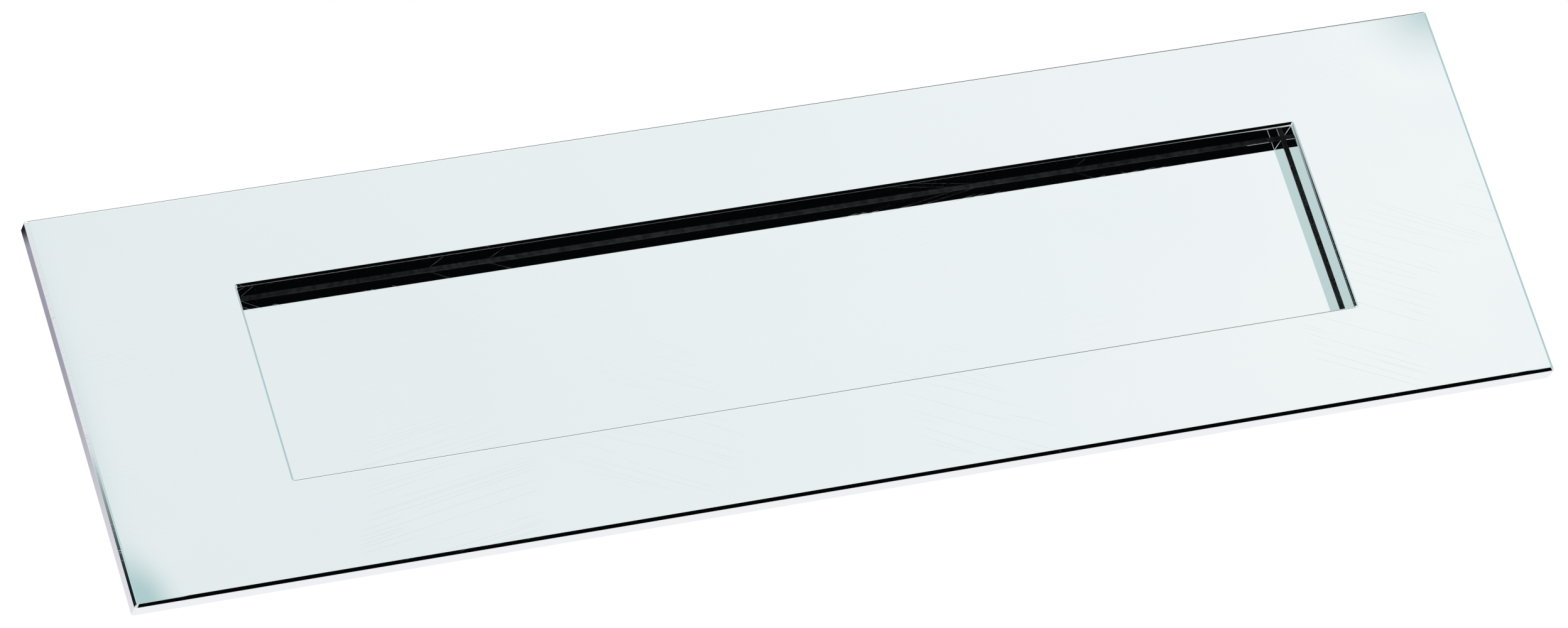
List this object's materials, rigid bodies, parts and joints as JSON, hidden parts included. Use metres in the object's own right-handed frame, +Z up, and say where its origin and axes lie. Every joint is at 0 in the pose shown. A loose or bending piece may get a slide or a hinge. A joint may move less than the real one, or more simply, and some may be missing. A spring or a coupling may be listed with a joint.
{
  "type": "letter plate",
  "caption": "Polished chrome letter plate: a flat rectangular surround with a central slot closed by a sprung flap that opens inwards, bolted through a door.",
  "frame": {"origin": "middle of the plate's lower edge, on the rear plane where the plate's border meets the door", "axes": "+X along the plate, +Y from the plate into the door, +Z up; the polished face looks along -Y"},
  "size_m": [0.254, 0.0552, 0.07],
  "materials": {
    "polished_chrome": "mirror-polished chrome plate",
    "bracket_steel": "dull nickel plate on pressed steel",
    "stainless_pin": "drawn stainless rod",
    "spring_steel": "bright drawn spring wire",
    "zinc_steel": "bright zinc plate",
    "nylon": "natural nylon",
    "rubber": "soft black rubber"
  },
  "bodies": {
    "plate": {"bracket_screw_left_lower": "zinc_steel", "bracket_screw_left_upper": "zinc_steel", "bracket_screw_right_lower": "zinc_steel", "bracket_screw_right_upper": "zinc_steel", "face_plate": "polished_chrome", "fixing_nut_left": "zinc_steel", "fixing_nut_right": "zinc_steel", "fixing_stud_left": "zinc_steel", "fixing_stud_right": "zinc_steel", "fixing_washer_left": "zinc_steel", "fixing_washer_right": "zinc_steel", "flap_buffer_left": "rubber", "flap_buffer_right": "rubber", "hinge_bracket_left": "bracket_steel", "hinge_bracket_right": "bracket_steel", "hinge_pin": "stainless_pin", "hinge_washer_left": "nylon", "hinge_washer_right": "nylon", "pin_clip_left": "spring_steel", "pin_clip_right": "spring_steel", "torsion_spring_left": "spring_steel", "torsion_spring_right": "spring_steel"},
    "flap": {"flap": "polished_chrome"}
  },
  "joints": [
    {"name": "flap_hinge", "type": "hinge", "parent": "plate", "child": "flap", "pos_m": [0, 0.0048, 0.0585], "axis": [1, 0, 0], "range_deg": [0, 85], "stiffness_Nm_per_rad": 0.05, "springref_deg": -45.84, "deforming": ["torsion_spring_left", "torsion_spring_right"]}
  ]
}
